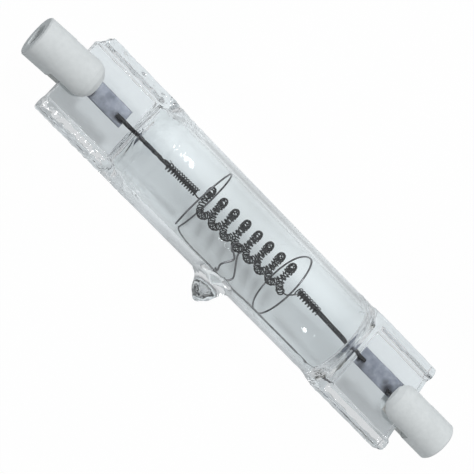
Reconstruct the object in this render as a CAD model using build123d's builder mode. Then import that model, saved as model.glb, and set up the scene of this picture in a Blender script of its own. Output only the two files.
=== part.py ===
from build123d import *
import math
import os

os.makedirs("parts", exist_ok=True)

# Double-ended tungsten-halogen bulb, in millimetres.
# X runs along the bulb and Z through the thickness of its flat pinches.
# The tube is sealed off at -Y, and the origin is the middle of its axis.
# "left" is the -X end and "right" the +X end.

overall_length = 78.3  # over the two ceramic bases
base_reach = 6.35  # how far a base stands out past the end of its pinch
coil_sides = 4  # of the section of the filament
wire_sides = 4  # of the section of a thin bent wire

margin = 1.0  # how far a cutting solid runs past what it cuts

# Quartz tube
bulb_diameter = 13.0
bulb_wall = 1.0
shoulder_length = 3.3
shoulder_wall = 0.5  # how much sooner the hollow ends than the shoulder does
hollow_end_width = 10.0
hollow_end_height = 0.9

# Pinches: a thin web between two thick rims
pinch_length = 11.9
pinch_width = 13.2
pinch_corner = 0.8
rim_thickness = 4.0
rim_width = 1.2
web_thickness = 2.2
web_setback = 0.7  # from the shoulder's end to the start of the web
web_draft = 20.0  # degrees, on the sides of the web's recess
left_corner_cut = 1.1  # where the left pinch has lost its corner at +Y
right_end_slant = 7.2  # degrees, the right pinch being shorter at +Y
right_end_setback = 0.47  # of the slanted end's middle

# Sealed-off exhaust tip
tip_reach = 3.35  # how far the tip stands out of the tube
tip_root_radius = 2.6
tip_neck_radius = 1.6
tip_neck_reach = 1.9
tip_end_radius = 0.8
tip_end_reach = 2.8
tip_sink = 0.8  # the tip's foot within the wall

# Molybdenum foils
foil_length = 7.9
foil_width = 2.8
foil_thickness = 0.06
left_foil_inset = 2.35  # from the start of the pinch
right_foil_inset = 1.0
left_foil_rise = 0.35  # towards +Y
right_foil_rise = 0.85

# Leads, flattened where they are welded on the foils
lead_radius = 0.3
weld_flat = 0.24  # from the lead's axis to its flat
weld_length = 1.4
seal_gap = 0.01  # between the quartz and the metal in it
left_lead_tip = 9.95
right_lead_tip = 9.75
left_lead_tip_rise = 0.3
right_lead_tip_rise = 0.95
left_lead_weld_rise = 0.0
right_lead_weld_rise = 0.6

# Filament: a wound coil, wound again into a wide coil
filament_turns = 7.75
filament_pitch = 2.17
filament_mean_radius = 1.575
winding_radius = 0.51
filament_start = -9.09
filament_rise = 0.69
filament_lean = 2.3  # degrees, rising towards +X

# Leg coils, wound tightly on the ends of the leads
leg_wire = 0.2
leg_clearance = 0.02
leg_turn_pitch = 0.41
left_leg_turns = 13
right_leg_turns = 10
leg_overhang = 0.2  # of the coil past the end of its lead
tail_radius = 0.1
tail_bend = 0.25

# Support frame: one wire with an open ring, a run along the wall and a closed ring
frame_wire_radius = 0.14
frame_wall_gap = 0.06
open_ring_place = -8.35
open_ring_tilt = 0.387  # its slope along X for each mm of Z
open_ring_twist = 0.113  # and of Y
open_ring_start = 144.0  # degrees from +Y
open_ring_sweep = 286.0
closed_ring_place = 7.35
closed_ring_pitch = 0.5
frame_run_start = -5.5
frame_seal_depth = 1.0  # how far the wire's end lies within the right pinch

# Hook between the frame's run and the middle of the filament
hook_wire_radius = 0.13
hook_clearance = 0.08
hook_turn = 3  # the filament's turn that the hook holds
hook_bend = 0.25
hook_left_foot = -0.66
hook_right_foot = 1.1
hook_neck = 1.25  # below the centre of the eye
hook_neck_shift = 0.85
hook_neck_width = 0.36
hook_left_bow = 0.23
hook_left_bend = 1.1
hook_right_bow = 0.55
hook_right_bend = 0.85
hook_foot_length = 0.55

# Ceramic bases
base_diameter = 6.0
base_overlap = 4.0  # how far a base reaches over its pinch
dome_length = 2.4
base_edge = 0.2
slot_height = 2.5
slot_seat = 2.1  # from the pinch's end to the bottom of the slot
jaw_draft = 0.05  # how much the radius grows from the round wall to the dome
jaw_end = 0.6  # from the pinch's end to the start of the round wall
left_base_rise = 0.3
right_base_rise = 0.0
left_base_lean = 4.0  # degrees, towards -Y
right_base_lean = 0.0
contact_recess_radius = 1.6
contact_recess_depth = 0.8
contact_seat_depth = 0.6  # below the floor of the recess

# Contacts and cement
contact_radius = 1.3
contact_thickness = 0.5
contact_clearance = 0.05
shank_radius = 0.7
shank_clearance = 0.05
shank_reach = 0.4  # past the bottom of the slot
lead_hole_depth = 1.6
lead_hole_clearance = 0.03
cement_width = 4.4
cement_setback = 1.2

bulb_radius = bulb_diameter / 2
hollow_radius = bulb_radius - bulb_wall
pinch_end = overall_length / 2 - base_reach
pinch_start = pinch_end - pinch_length
bulb_end = pinch_start - shoulder_length
left_foil_start = pinch_start + left_foil_inset
right_foil_start = pinch_start + right_foil_inset
web_start = pinch_start + web_setback
web_width = pinch_width - 2 * rim_width
web_depth = (rim_thickness - web_thickness) / 2
web_slope = web_depth * math.tan(math.radians(web_draft))
pinch_half = pinch_width / 2
slant_reach = (pinch_half + margin) * math.tan(math.radians(right_end_slant))
right_end_middle = pinch_end - right_end_setback
foil_level = -weld_flat - foil_thickness / 2
base_radius = base_diameter / 2
recess_floor = base_reach - contact_recess_depth
seat_floor = recess_floor - contact_seat_depth
shank_end = slot_seat - shank_reach
frame_radius = hollow_radius - frame_wire_radius - frame_wall_gap
filament_end = filament_start + filament_pitch * filament_turns


def save(piece, label):
    piece.part.label = label
    export_step(piece.part, "parts/" + label + ".step")


# A plane in the flat of the pinch, with its X pointing out along a base's axis.
def base_plane(side, rise, lean):
    angle = math.radians(lean)
    outward = (side * math.cos(angle), -math.sin(angle), 0)
    return Plane(origin=(side * pinch_end, rise, 0), x_dir=outward, z_dir=(0, 0, 1))


left_base_plane = base_plane(-1, left_base_rise, left_base_lean)
right_base_plane = base_plane(1, right_base_rise, right_base_lean)


# A round rod between two points.
def rod(start, end, radius):
    span = Vector(end) - Vector(start)
    with BuildPart() as round_rod:
        with BuildSketch(Plane(origin=start, z_dir=span)):
            Circle(radius)
        extrude(amount=span.length)
    return round_rod.part


# A bent wire along a path. Its section has flats, which keeps a long coil light.
def wire_along(path, radius, sides=wire_sides, helical=False):
    with BuildPart() as wire:
        with BuildSketch(Plane(origin=path @ 0, z_dir=path % 0)):
            RegularPolygon(radius, sides)
        sweep(path=path, is_frenet=helical)
    return wire.part


# Sealed foils. Each lies just under the flats of the leads that are welded on it.
def foil_sheet(side, start, rise, gap=0.0):
    middle = (side * (start + foil_length / 2), rise, foil_level)
    with BuildPart() as sheet:
        with Locations(middle):
            Box(foil_length + 2 * gap, foil_width + 2 * gap, foil_thickness + 2 * gap)
    return sheet.part


def make_foil(label, side, start, rise):
    with BuildPart() as foil:
        add(foil_sheet(side, start, rise))
    save(foil, label)


# Inner leads run from the foil to the middle of the leg coil.
def inner_lead_ends(side, foil_start, weld_rise, tip, tip_rise):
    weld_end = (side * (foil_start + weld_length), weld_rise, 0)
    return weld_end, (side * tip, tip_rise, 0)


left_lead_ends = inner_lead_ends(
    -1, left_foil_start, left_lead_weld_rise, left_lead_tip, left_lead_tip_rise
)
right_lead_ends = inner_lead_ends(
    1, right_foil_start, right_lead_weld_rise, right_lead_tip, right_lead_tip_rise
)


# What comes off the underside of a lead where it lies on the foil.
def weld_flat_cutter(side, foil_start):
    with BuildPart() as cutter:
        with BuildSketch(Plane.XY.offset(-weld_flat)):
            with Locations((side * (foil_start + foil_length / 2), 0)):
                Rectangle(foil_length, pinch_width)
        extrude(amount=-lead_radius)
    return cutter.part


def make_inner_lead(label, side, ends, foil_start):
    with BuildPart() as lead:
        add(rod(ends[0], ends[1], lead_radius))
        add(weld_flat_cutter(side, foil_start), mode=Mode.SUBTRACT)
    save(lead, label)


# Outer leads lie on the axis of their base and end in the contact's shank.
def outer_lead_rod(side, plane, foil_start, radius):
    foil_end = foil_start + foil_length
    inner = pinch_end - foil_end + weld_length
    start = plane.from_local_coords((-inner, 0, 0))
    end = plane.from_local_coords((shank_end + lead_hole_depth - seal_gap, 0, 0))
    return rod(start, end, radius)


def make_outer_lead(label, side, plane, foil_start):
    with BuildPart() as lead:
        add(outer_lead_rod(side, plane, foil_start, lead_radius))
        add(weld_flat_cutter(side, foil_start), mode=Mode.SUBTRACT)
    save(lead, label)


# Where the pinches end, from -Y to +Y.
left_end_line = [
    (-pinch_end, -pinch_half - margin),
    (-pinch_end, pinch_half - left_corner_cut),
    (-pinch_end + left_corner_cut + margin, pinch_half + margin),
]
right_end_line = [
    (right_end_middle + slant_reach, -pinch_half - margin),
    (right_end_middle - slant_reach, pinch_half + margin),
]


# A slab on one side of a pinch's end line, in the flat of the pinch.
def end_slab(end_line, far_x, height):
    with BuildPart() as slab:
        with BuildSketch(Plane.XY):
            with BuildLine():
                far_corners = [(far_x, pinch_half + margin), (far_x, -pinch_half - margin)]
                Polyline(*end_line, *far_corners, close=True)
            make_face()
        extrude(amount=height / 2, both=True)
    return slab.part


# One end of the quartz: the shoulder, then the pinch with a web on each face.
def quartz_end(side, end_line):
    with BuildPart() as end:
        with BuildSketch(Plane.YZ.offset(side * bulb_end)):
            Circle(bulb_radius)
        with BuildSketch(Plane.YZ.offset(side * pinch_start)):
            RectangleRounded(pinch_width, rim_thickness, pinch_corner)
        loft()
        with BuildSketch(Plane.YZ.offset(side * pinch_start)):
            RectangleRounded(pinch_width, rim_thickness, pinch_corner)
        extrude(amount=side * (pinch_length + slant_reach))
        web_length = pinch_end - web_start + slant_reach + margin
        web_middle = side * (web_start + web_length / 2)
        for face in (-1, 1):
            with BuildSketch(Plane.XY.offset(face * web_thickness / 2)):
                with Locations((web_middle, 0)):
                    Rectangle(web_length, web_width - 2 * web_slope)
            extrude(amount=face * web_depth, taper=-web_draft, mode=Mode.SUBTRACT)
        past_end = side * (pinch_end + 2 * slant_reach)
        add(end_slab(end_line, past_end, rim_thickness + margin), mode=Mode.SUBTRACT)
    return end.part


# The hollow's end, which the press flattens to a thin slot.
def hollow_end(side):
    with BuildPart() as end:
        with BuildSketch(Plane.YZ.offset(side * bulb_end)):
            Circle(hollow_radius)
        with BuildSketch(Plane.YZ.offset(side * (pinch_start - shoulder_wall))):
            Ellipse(hollow_end_width / 2, hollow_end_height / 2)
        loft()
    return end.part


frame_seal_end = pinch_start + frame_seal_depth

# Quartz envelope: tube, shoulders, pinches and tip, fused as one glass.
with BuildPart() as quartz_envelope:
    with BuildSketch(Plane.YZ.offset(-bulb_end)):
        Circle(bulb_radius)
    extrude(amount=2 * bulb_end)
    add(quartz_end(-1, left_end_line))
    add(quartz_end(1, right_end_line))
    with BuildSketch(Plane.XY):
        with BuildLine():
            foot = (0, -bulb_radius + tip_sink)
            root = (tip_root_radius, -bulb_radius + tip_sink)
            neck = (tip_neck_radius, -bulb_radius - tip_neck_reach)
            end = (tip_end_radius, -bulb_radius - tip_end_reach)
            crown = (0, -bulb_radius - tip_reach)
            Polyline(foot, root, neck, end, crown, close=True)
        make_face()
    revolve(axis=Axis.Y)
    with BuildSketch(Plane.YZ.offset(-bulb_end)):
        Circle(hollow_radius)
    extrude(amount=2 * bulb_end, mode=Mode.SUBTRACT)
    add(hollow_end(-1), mode=Mode.SUBTRACT)
    add(hollow_end(1), mode=Mode.SUBTRACT)
    pockets = [
        foil_sheet(-1, left_foil_start, left_foil_rise, seal_gap),
        foil_sheet(1, right_foil_start, right_foil_rise, seal_gap),
        rod(left_lead_ends[0], left_lead_ends[1], lead_radius + seal_gap),
        rod(right_lead_ends[0], right_lead_ends[1], lead_radius + seal_gap),
        outer_lead_rod(-1, left_base_plane, left_foil_start, lead_radius + seal_gap),
        outer_lead_rod(1, right_base_plane, right_foil_start, lead_radius + seal_gap),
        rod(
            (bulb_end, -frame_radius, 0),
            (frame_seal_end + seal_gap, -frame_radius, 0),
            frame_wire_radius + seal_gap,
        ),
    ]
    for pocket in pockets:
        add(pocket, mode=Mode.SUBTRACT)
save(quartz_envelope, "quartz_envelope")

make_foil("foil_left", -1, left_foil_start, left_foil_rise)
make_foil("foil_right", 1, right_foil_start, right_foil_rise)
make_inner_lead("inner_lead_left", -1, left_lead_ends, left_foil_start)
make_inner_lead("inner_lead_right", 1, right_lead_ends, right_foil_start)
make_outer_lead("outer_lead_left", -1, left_base_plane, left_foil_start)
make_outer_lead("outer_lead_right", 1, right_base_plane, right_foil_start)

# The wide coil, about the X axis. It starts at its near side, +Z.
with BuildLine() as winding_path:
    Helix(
        filament_pitch,
        filament_end - filament_start,
        filament_mean_radius,
        center=(filament_start, 0, 0),
        direction=(1, 0, 0),
        lefthand=True,
    )

filament_location = Location((0, filament_rise, 0), (0, 0, filament_lean))
filament_plane = Plane(filament_location)


# A leg coil is close enough wound to be taken as a sleeve on the lead.
def leg_coil(ends, turns):
    along = (Vector(ends[0]) - Vector(ends[1])).normalized()
    sleeve_start = Vector(ends[1]) - along * leg_overhang
    inside = lead_radius + leg_clearance
    with BuildPart() as sleeve:
        with BuildSketch(Plane(origin=sleeve_start, z_dir=along)):
            Circle(inside + leg_wire)
            Circle(inside, mode=Mode.SUBTRACT)
        extrude(amount=turns * leg_turn_pitch)
    return sleeve.part


# A tail is the thin wire between the end of the wide coil and its leg coil.
def tail(points):
    with BuildLine() as path:
        FilletPolyline(points, radius=tail_bend)
    return wire_along(path.line, tail_radius)


# Where a tail leaves its leg coil: inside the last turn, on the side given.
def tail_root(tip, toward_y, toward_z):
    reach = lead_radius + leg_clearance + leg_wire / 2
    return Vector(tip) + Vector(0, toward_y * reach, toward_z * reach)


coil_start = filament_plane.from_local_coords(winding_path.line @ 0)
coil_end = filament_plane.from_local_coords(winding_path.line @ 1)
left_root = tail_root(left_lead_ends[1], -0.6, 0.8)
right_root = tail_root(right_lead_ends[1], -0.8, 0.6)
left_tail_bend = left_root + (coil_start - left_root) * 0.5 + Vector(0, -0.35, 0)
right_tail_bend = right_root + (coil_end - right_root) * 0.5 + Vector(0, -0.35, 0)

with BuildPart() as filament:
    with Locations(filament_location):
        add(wire_along(winding_path.line, winding_radius, coil_sides, helical=True))
    add(leg_coil(left_lead_ends, left_leg_turns))
    add(leg_coil(right_lead_ends, right_leg_turns))
    add(tail([left_root, left_tail_bend, coil_start]))
    add(tail([right_root, right_tail_bend, coil_end]))
save(filament, "filament")

# Support frame. The open ring starts at its free end and bends into the run.
run_start = (frame_run_start, -frame_radius, 0)
open_ring_plane = Plane(
    origin=(open_ring_place, 0, 0),
    x_dir=(0, 1, 0),
    z_dir=(1, -open_ring_twist, open_ring_tilt),
)
with BuildLine(open_ring_plane) as open_ring:
    CenterArc((0, 0), frame_radius, open_ring_start, -open_ring_sweep)
with BuildLine() as ring_bend:
    ring_way = open_ring.line % 1
    Spline(open_ring.line @ 1, run_start, tangents=[ring_way, (1, 0, 0)])

# The closed ring is a single turn of the wire, drawn from +Z and turned to start at -Y.
with BuildLine() as closed_ring:
    Helix(
        closed_ring_pitch,
        closed_ring_pitch,
        frame_radius,
        center=(closed_ring_place - closed_ring_pitch / 2, 0, 0),
        direction=(1, 0, 0),
    )

with BuildPart() as support_frame:
    add(rod(run_start, (frame_seal_end, -frame_radius, 0), frame_wire_radius))
    add(wire_along(open_ring.line, frame_wire_radius))
    add(wire_along(ring_bend.line, frame_wire_radius))
    add(wire_along(closed_ring.line, frame_wire_radius, helical=True), rotation=(90, 0, 0))
save(support_frame, "support_frame")

# Hook: an eye round one turn of the filament, and two feet that lie on the frame's run.
eye_turn_place = filament_start + filament_pitch * (hook_turn + 0.75)
eye = filament_plane.from_local_coords((eye_turn_place, -filament_mean_radius, 0))
eye_reach = (winding_radius + hook_clearance + hook_wire_radius) / math.cos(math.pi / 6)
foot_level = -frame_radius + frame_wire_radius + hook_wire_radius + seal_gap
neck = eye + Vector(hook_neck_shift, -hook_neck)
neck_half = Vector(hook_neck_width / 2, 0)
eye_opening = math.degrees(math.atan2(-hook_neck, hook_neck_shift))

hook_points = [
    (hook_left_foot - hook_foot_length, foot_level),
    (hook_left_foot, foot_level),
    (hook_left_foot - hook_left_bow, foot_level + hook_left_bend),
    neck - neck_half,
]
for corner in range(6):
    angle = math.radians(eye_opening - 30 - 60 * corner)
    hook_points.append(eye + Vector(math.cos(angle), math.sin(angle)) * eye_reach)
hook_points += [
    neck + neck_half,
    (hook_right_foot + hook_right_bow, foot_level + hook_right_bend),
    (hook_right_foot, foot_level),
    (hook_right_foot - hook_foot_length, foot_level),
]
with BuildLine() as hook_path:
    FilletPolyline(hook_points, radius=hook_bend)

with BuildPart() as filament_hook:
    add(wire_along(hook_path.line, hook_wire_radius))
save(filament_hook, "filament_hook")


# A ceramic base: a round rod with a domed inner end, slotted to sit over the pinch.
def make_base(label, plane):
    bore = shank_radius + shank_clearance
    seat_radius = contact_radius + contact_clearance
    jaw_radius = base_radius + jaw_draft
    dome = []
    for angle in (90, 60, 35, 15):
        way = math.radians(angle)
        dome_x = dome_length * (1 - math.sin(way)) - base_overlap
        dome.append((dome_x, bore + (jaw_radius - bore) * math.cos(way)))
    dome_end = (dome_length - base_overlap, jaw_radius)
    axis = Axis(plane.origin, plane.x_dir)
    with BuildPart() as base:
        with BuildSketch(plane):
            with BuildLine():
                Polyline(
                    *dome,
                    dome_end,
                    (jaw_end, base_radius),
                    (base_reach - base_edge, base_radius),
                    (base_reach, base_radius - base_edge),
                    (base_reach, contact_recess_radius),
                    (recess_floor, contact_recess_radius),
                    (recess_floor, seat_radius),
                    (seat_floor, seat_radius),
                    (seat_floor, bore),
                    close=True,
                )
            make_face()
        revolve(axis=axis)
        slot_length = slot_seat + base_overlap + margin
        with BuildSketch(plane):
            with Locations((slot_seat - slot_length / 2, 0)):
                Rectangle(slot_length, base_diameter + margin)
        extrude(amount=slot_height / 2, both=True, mode=Mode.SUBTRACT)
    save(base, label)


# A contact: a button sunk in the recess's floor, on a shank that takes the outer lead.
def make_contact(label, plane):
    button_face = seat_floor + contact_thickness
    lead_hole = lead_radius + lead_hole_clearance
    hole_end = shank_end + lead_hole_depth
    with BuildPart() as contact:
        with BuildSketch(plane):
            with BuildLine():
                Polyline(
                    (shank_end, lead_hole),
                    (shank_end, shank_radius),
                    (seat_floor, shank_radius),
                    (seat_floor, contact_radius),
                    (button_face, contact_radius),
                    (button_face, 0),
                    (hole_end, 0),
                    (hole_end, lead_hole),
                    close=True,
                )
            make_face()
        revolve(axis=Axis(plane.origin, plane.x_dir))
    save(contact, label)


# Cement fills the slot over and under the web and round the outer lead.
def make_cement(label, side, plane, foil_start, end_line):
    length = base_overlap - cement_setback + slot_seat
    shank_top = plane.from_local_coords((shank_end, 0, 0))
    shank_root = plane.from_local_coords((slot_seat + margin, 0, 0))
    with BuildPart() as cement:
        with BuildSketch(plane):
            with Locations((slot_seat - length / 2, 0)):
                Rectangle(length, cement_width)
        extrude(amount=slot_height / 2, both=True)
        add(end_slab(end_line, side * pinch_start, web_thickness), mode=Mode.SUBTRACT)
        lead = outer_lead_rod(side, plane, foil_start, lead_radius + seal_gap)
        add(lead, mode=Mode.SUBTRACT)
        add(rod(shank_top, shank_root, shank_radius + seal_gap), mode=Mode.SUBTRACT)
    save(cement, label)


make_base("ceramic_base_left", left_base_plane)
make_base("ceramic_base_right", right_base_plane)
make_contact("contact_left", left_base_plane)
make_contact("contact_right", right_base_plane)
make_cement("cement_left", -1, left_base_plane, left_foil_start, left_end_line)
make_cement("cement_right", 1, right_base_plane, right_foil_start, right_end_line)
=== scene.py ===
import bpy
import math
import numpy as np
from mathutils import Matrix, Vector, noise


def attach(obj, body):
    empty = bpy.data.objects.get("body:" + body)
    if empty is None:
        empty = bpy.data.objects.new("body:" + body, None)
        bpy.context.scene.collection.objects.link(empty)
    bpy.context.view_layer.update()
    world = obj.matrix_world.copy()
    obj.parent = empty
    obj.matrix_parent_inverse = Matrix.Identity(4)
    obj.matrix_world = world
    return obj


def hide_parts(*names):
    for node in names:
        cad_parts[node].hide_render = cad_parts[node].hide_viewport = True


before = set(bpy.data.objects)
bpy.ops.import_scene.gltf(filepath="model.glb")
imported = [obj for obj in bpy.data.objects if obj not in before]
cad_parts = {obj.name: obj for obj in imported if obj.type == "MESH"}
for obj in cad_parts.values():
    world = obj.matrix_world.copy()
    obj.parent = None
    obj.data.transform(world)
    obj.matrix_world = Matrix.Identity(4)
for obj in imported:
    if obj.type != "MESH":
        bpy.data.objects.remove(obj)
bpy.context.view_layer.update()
mm = 0.001
print("frame loaded:", len(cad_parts), "nodes")


# small helpers for meshes and curves, all in millimetres

def smoothStep(low, high, value):
    part = np.clip((value - low) / (high - low), 0.0, 1.0)
    return part * part * (3 - 2 * part)


def bump(value, centre, width):
    return np.exp(-((value - centre) / width) ** 2)


def ripple(x, y, z, scale, seed):
    # smooth noise from -1 to 1
    return noise.noise(Vector((x * scale + seed, y * scale, z * scale - seed)))


def unit(vector):
    return vector / np.linalg.norm(vector)


def newMesh(name, points, faces, material):
    mesh = bpy.data.meshes.new(name)
    mesh.from_pydata((np.asarray(points) * mm).tolist(), [], faces)
    mesh.update()
    mesh.shade_smooth()
    mesh.materials.append(material)
    piece = bpy.data.objects.new(name, mesh)
    bpy.context.scene.collection.objects.link(piece)
    return piece


def ringFaces(rows, count, first=0, inward=False):
    # quads between closed rings of points, one ring a row
    faces = []
    for row in range(rows - 1):
        low = first + row * count
        high = low + count
        for i in range(count):
            j = (i + 1) % count
            quad = (low + i, low + j, high + j, high + i)
            faces.append(quad[::-1] if inward else quad)
    return faces


def capFaces(rows, count, first=0, inward=False):
    # the first and the last ring, closed from face to face
    last = first + (rows - 1) * count
    faces = []
    for i in range(count // 2):
        a, b = i, i + 1
        c, d = (count - i - 1) % count, (count - i) % count
        near = [a, b, c, d] if i > 0 else [a, b, c]
        if b == c:
            near = [a, b, d]
        turned = near[::-1]
        faces.append(tuple(first + n for n in (near if inward else turned)))
        faces.append(tuple(last + n for n in (turned if inward else near)))
    return faces


def pathCurve(name, route, thickness=0.0):
    curve = bpy.data.curves.new(name, "CURVE")
    curve.dimensions = "3D"
    spline = curve.splines.new("POLY")
    spline.points.add(len(route) - 1)
    for point, place in zip(spline.points, route):
        point.co = (place[0] * mm, place[1] * mm, place[2] * mm, 1.0)
    if thickness:
        curve.bevel_depth = thickness * mm
        curve.bevel_resolution = 4
        curve.use_fill_caps = True
    piece = bpy.data.objects.new(name, curve)
    bpy.context.scene.collection.objects.link(piece)
    return piece


def asMesh(piece, name):
    # the evaluated object as a plain mesh, with nothing live on it
    bpy.context.view_layer.update()
    seen = piece.evaluated_get(bpy.context.evaluated_depsgraph_get())
    mesh = bpy.data.meshes.new_from_object(seen)
    mesh.name = name
    plain = bpy.data.objects.new(name, mesh)
    bpy.context.scene.collection.objects.link(plain)
    bpy.data.objects.remove(piece)
    mesh.shade_smooth()
    return plain


def joined(pieces, name):
    # several meshes as one piece
    points, faces = [], []
    for piece in pieces:
        first = len(points)
        points += [tuple(v.co / mm) for v in piece.data.vertices]
        faces += [tuple(first + i for i in face.vertices) for face in piece.data.polygons]
    material = pieces[0].data.materials[0]
    for piece in pieces:
        bpy.data.objects.remove(piece)
    return newMesh(name, points, faces, material)


def smoothRoute(knots, steps=12):
    # a rounded route through the knots, by a spline of the third degree
    knots = [np.array(knot, float) for knot in knots]
    ends = [2 * knots[0] - knots[1]] + knots + [2 * knots[-1] - knots[-2]]
    route = []
    for i in range(1, len(ends) - 2):
        a, b, c, d = ends[i - 1:i + 3]
        for step in range(steps):
            s = step / steps
            route.append(0.5 * (2 * b + (c - a) * s + (2 * a - 5 * b + 4 * c - d) * s * s
                                + (3 * b - a - 3 * c + d) * s ** 3))
    route.append(knots[-1])
    return route


# shader nodes and groups shared by the materials

def addNode(tree, kind, place, **settings):
    node = tree.nodes.new(kind)
    node.location = place  # in the node editor
    for name, value in settings.items():
        setattr(node, name, value)
    return node


def connect(tree, *links):
    for source, output, target, socket in links:
        tree.links.new(source.outputs[output], target.inputs[socket])


def setInputs(node, values):
    for name, value in values.items():
        node.inputs[name].default_value = value


def setRamp(node, stops):
    # the stops of a colour ramp: place and colour
    elements = node.color_ramp.elements
    for place, _ in stops[1:-1]:
        elements.new(place)
    for element, (place, colour) in zip(elements, stops):
        element.position = place
        element.color = (*colour, 1.0)


def grainGroup():
    # fine grain and slow blotches, from the object's own coordinates
    group = bpy.data.node_groups.new("fineGrain", "ShaderNodeTree")
    for name, value in (("Grain Scale", 900.0), ("Blotch Scale", 120.0), ("Grain Share", 0.5)):
        socket = group.interface.new_socket(name, in_out="INPUT", socket_type="NodeSocketFloat")
        socket.default_value = value
    group.interface.new_socket("Mask", in_out="OUTPUT", socket_type="NodeSocketFloat")
    group.interface.new_socket("Grain", in_out="OUTPUT", socket_type="NodeSocketFloat")
    start = addNode(group, "NodeGroupInput", (-800, 0))
    end = addNode(group, "NodeGroupOutput", (400, 0))
    place = addNode(group, "ShaderNodeTexCoord", (-800, -200))
    fine = addNode(group, "ShaderNodeTexNoise", (-500, 150))
    slow = addNode(group, "ShaderNodeTexNoise", (-500, -150))
    fine.inputs["Detail"].default_value = 5.0
    slow.inputs["Detail"].default_value = 3.0
    mix = addNode(group, "ShaderNodeMix", (-100, 0), data_type="FLOAT")
    connect(group, (place, "Object", fine, "Vector"), (place, "Object", slow, "Vector"),
                   (start, "Grain Scale", fine, "Scale"), (start, "Blotch Scale", slow, "Scale"),
                   (start, "Grain Share", mix, "Factor"), (slow, "Fac", mix, "A"),
                   (fine, "Fac", mix, "B"), (mix, "Result", end, "Mask"), (fine, "Fac", end, "Grain"))
    return group


fineGrain = grainGroup()

# levels of the grain at which the colours and the roughness reach their ends
grainRange = {
    "dark": 0.35,
    "light": 0.65,
    "smooth": 0.3,
    "rough": 0.7,
}


def grainedMaterial(name, look):
    # a surface whose colour, roughness and relief all follow its grain
    material = bpy.data.materials.new(name)
    material.use_nodes = True
    tree = material.node_tree
    shader = tree.nodes["Principled BSDF"]
    setInputs(shader, {"Metallic": look.get("metallic", 0.0),
                       "Specular IOR Level": look.get("specular", 0.5)})
    grain = addNode(tree, "ShaderNodeGroup", (-900, 0), node_tree=fineGrain)
    setInputs(grain, {"Grain Scale": look["grainScale"], "Blotch Scale": look["blotchScale"],
                      "Grain Share": look.get("grainShare", 0.5)})
    colours = addNode(tree, "ShaderNodeValToRGB", (-600, 200))
    setRamp(colours, ((grainRange["dark"], look["dark"]), (grainRange["light"], look["light"])))
    rough = addNode(tree, "ShaderNodeMapRange", (-600, -100))
    setInputs(rough, {"From Min": grainRange["smooth"], "From Max": grainRange["rough"],
                      "To Min": look["roughness"][0], "To Max": look["roughness"][1]})
    relief = addNode(tree, "ShaderNodeBump", (-300, -300))
    setInputs(relief, {"Strength": look.get("relief", 0.3),
                       "Distance": look.get("reliefDepth", 0.03) * mm})
    connect(tree, (grain, "Mask", colours, "Fac"), (colours, "Color", shader, "Base Color"),
                  (grain, "Mask", rough, "Value"), (rough, "Result", shader, "Roughness"),
                  (grain, "Grain", relief, "Height"), (relief, "Normal", shader, "Normal"))
    return material


# quartz envelope: one glass, swept along X from a round tube to two pressed pinches

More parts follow.
